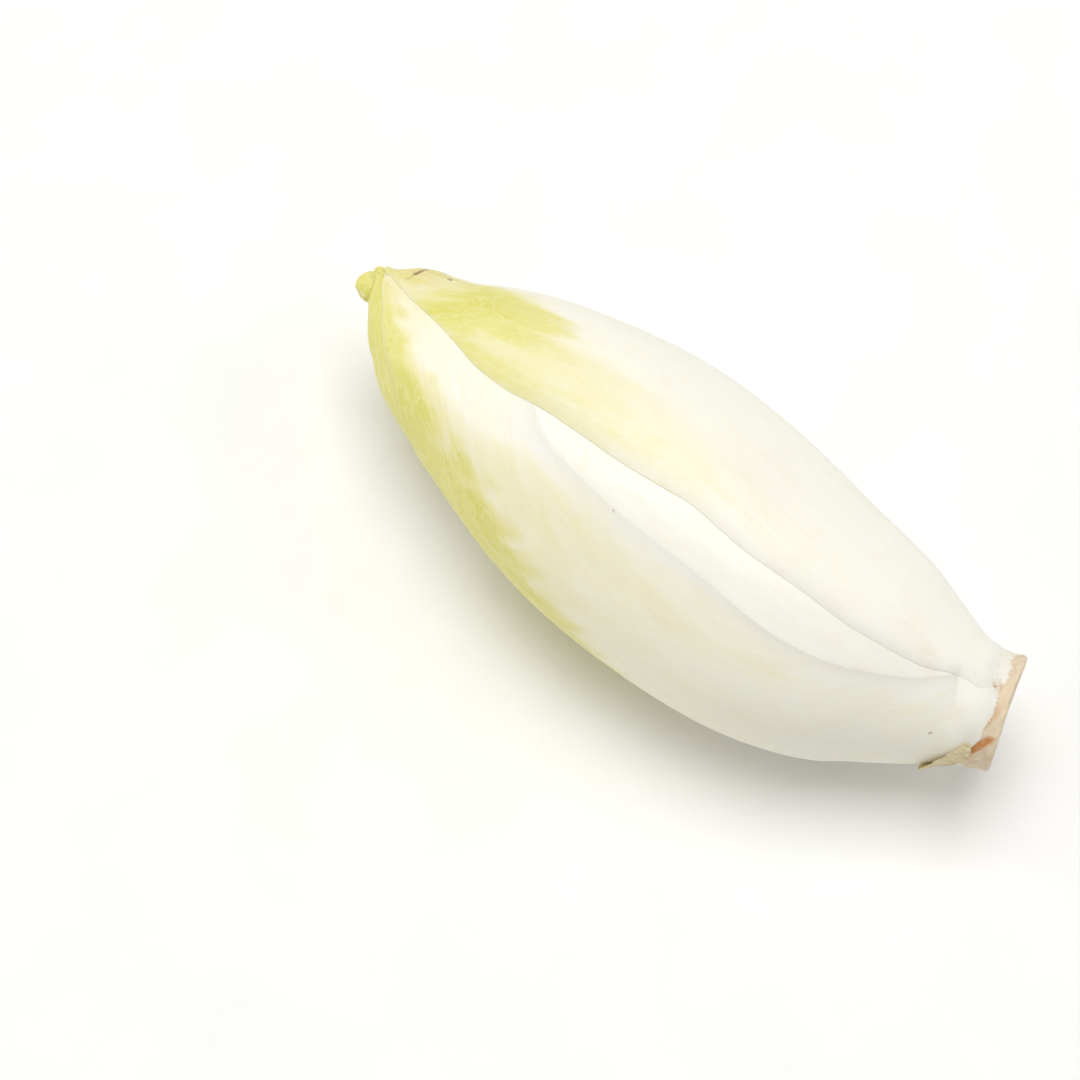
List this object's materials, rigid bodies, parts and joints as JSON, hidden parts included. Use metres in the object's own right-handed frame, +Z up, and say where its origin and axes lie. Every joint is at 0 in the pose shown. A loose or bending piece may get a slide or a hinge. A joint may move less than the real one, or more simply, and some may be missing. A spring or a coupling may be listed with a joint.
{
  "type": "belgian endive",
  "caption": "Belgian endive head lying on its side: a tight spindle of overlapping pale leaves with yellow-green margins, on a short cut stem.",
  "frame": {"origin": "centre of the footprint, on the surface the head lies on", "axes": "+X towards the cut stem along the head, -X towards the tip, +Z up, away from the surface"},
  "size_m": [0.1554, 0.0578, 0.0556],
  "materials": {
    "outer_leaf": "satin, waxy ivory leaf with yellow-green margins towards the tip",
    "inner_leaf": "satin, pale yellow leaf",
    "torn_leaf": "matt, drying tan leaf remnant",
    "stem": "matt, ivory side and browned cut face"
  },
  "bodies": {
    "root": {"torn_leaf_base": "torn_leaf", "upper_outer_leaf": "outer_leaf", "front_outer_leaf": "outer_leaf", "back_outer_leaf": "outer_leaf", "wedge_leaf": "outer_leaf", "lower_leaf": "outer_leaf", "middle_leaf_1": "inner_leaf", "middle_leaf_2": "inner_leaf", "middle_leaf_3": "inner_leaf", "middle_leaf_4": "inner_leaf", "middle_leaf_5": "inner_leaf", "middle_leaf_6": "inner_leaf", "inner_leaf_1": "inner_leaf", "inner_leaf_2": "inner_leaf", "inner_leaf_3": "inner_leaf", "inner_leaf_4": "inner_leaf", "inner_leaf_5": "inner_leaf", "inner_leaf_6": "inner_leaf", "inner_leaf_7": "inner_leaf", "stem": "stem"}
  },
  "joints": []
}
